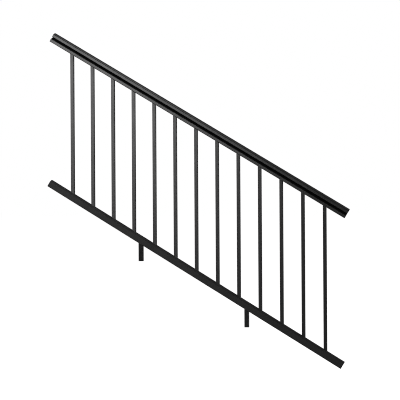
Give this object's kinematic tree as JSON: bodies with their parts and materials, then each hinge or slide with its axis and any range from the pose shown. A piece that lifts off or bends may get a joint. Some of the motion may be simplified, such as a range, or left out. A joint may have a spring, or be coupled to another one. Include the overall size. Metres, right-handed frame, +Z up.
{
  "type": "stair railing section",
  "caption": "Sloping metal railing section for a stair or deck: moulded top rail, plain bottom rail, plumb square balusters between them and short support legs below.",
  "frame": {"origin": "centre of the lower support leg's foot, on its flat underside", "axes": "+Z up along the balusters, +X level and downhill in the section's plane, +Y level across it; the section's mid-plane is Y = 0"},
  "size_m": [1.5876, 0.05, 1.7451],
  "materials": {
    "rails": "black satin powder coat",
    "balusters": "black satin powder coat",
    "spacers": "black satin powder coat",
    "legs": "black satin powder coat"
  },
  "bodies": {
    "root": {"top_rail": "rails", "bottom_rail": "rails", "baluster_01": "balusters", "baluster_02": "balusters", "baluster_03": "balusters", "baluster_04": "balusters", "baluster_05": "balusters", "baluster_06": "balusters", "baluster_07": "balusters", "baluster_08": "balusters", "baluster_09": "balusters", "baluster_10": "balusters", "baluster_11": "balusters", "baluster_12": "balusters", "baluster_13": "balusters", "top_spacer_01": "spacers", "top_spacer_02": "spacers", "top_spacer_03": "spacers", "top_spacer_04": "spacers", "top_spacer_05": "spacers", "top_spacer_06": "spacers", "top_spacer_07": "spacers", "top_spacer_08": "spacers", "top_spacer_09": "spacers", "top_spacer_10": "spacers", "top_spacer_11": "spacers", "top_spacer_12": "spacers", "top_spacer_13": "spacers", "top_spacer_14": "spacers", "bottom_spacer_01": "spacers", "bottom_spacer_02": "spacers", "bottom_spacer_03": "spacers", "bottom_spacer_04": "spacers", "bottom_spacer_05": "spacers", "bottom_spacer_06": "spacers", "bottom_spacer_07": "spacers", "bottom_spacer_08": "spacers", "bottom_spacer_09": "spacers", "bottom_spacer_10": "spacers", "bottom_spacer_11": "spacers", "bottom_spacer_12": "spacers", "bottom_spacer_13": "spacers", "bottom_spacer_14": "spacers", "upper_support_leg": "legs", "lower_support_leg": "legs"}
  },
  "joints": []
}
